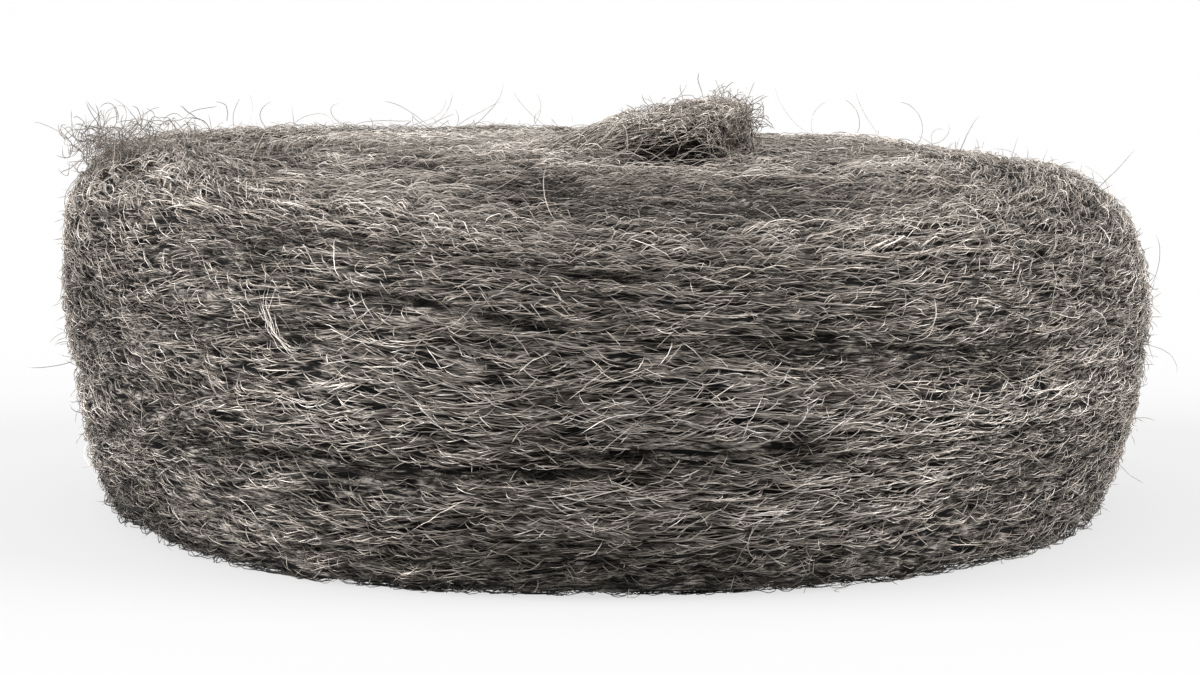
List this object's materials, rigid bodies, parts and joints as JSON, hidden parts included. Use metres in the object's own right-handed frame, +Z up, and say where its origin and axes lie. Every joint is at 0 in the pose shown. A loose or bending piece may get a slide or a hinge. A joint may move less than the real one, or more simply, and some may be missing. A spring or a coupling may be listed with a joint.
{
  "type": "steel wool bundle",
  "caption": "Low round roll of coarse steel wool ribbon lying on its end, with long furrows between its laps and the ribbon's free end standing up as a frayed lock on top.",
  "frame": {"origin": "middle of the flat underside that the roll stands on", "axes": "+Z up along the winding's axis; -Y is the front, where the deepest lap furrow runs; +X is the low side, which the free lock points to"},
  "size_m": [0.107, 0.1069, 0.041],
  "materials": {
    "steel_wool": "matte mass of thin crimped grey steel strands"
  },
  "bodies": {
    "root": {"wool_roll": "steel_wool"}
  },
  "joints": []
}
